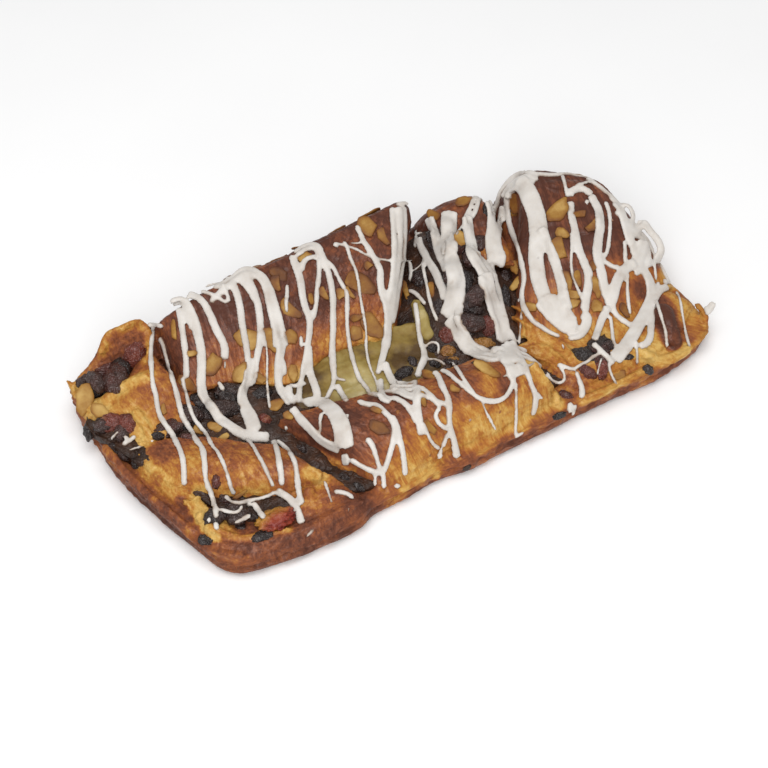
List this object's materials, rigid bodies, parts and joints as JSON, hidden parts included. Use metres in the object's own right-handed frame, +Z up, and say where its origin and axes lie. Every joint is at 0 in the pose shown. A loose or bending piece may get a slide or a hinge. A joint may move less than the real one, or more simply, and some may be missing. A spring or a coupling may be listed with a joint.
{
  "type": "danish pastry strip",
  "caption": "Rectangular danish pastry strip with slanting folded flaps over dark fruit filling, custard in the open middle, flaked almonds and white icing drizzle.",
  "frame": {"origin": "middle of the flat underside", "axes": "+X along the strip towards its right end in the picture, +Y across it towards the high far folds, +Z up"},
  "size_m": [0.287, 0.148, 0.0462],
  "materials": {
    "baked_dough": "egg-washed baked crust, satin on the crowns, with white icing and tan almond flakes",
    "dried_fruit": "sticky wrinkled raisins in dark fruit paste",
    "custard": "smooth set custard",
    "red_fruit": "glossy cooked fruit"
  },
  "bodies": {
    "root": {"pastry": "baked_dough", "fruit_filling": "dried_fruit", "custard": "custard", "red_fruit": "red_fruit"}
  },
  "joints": []
}
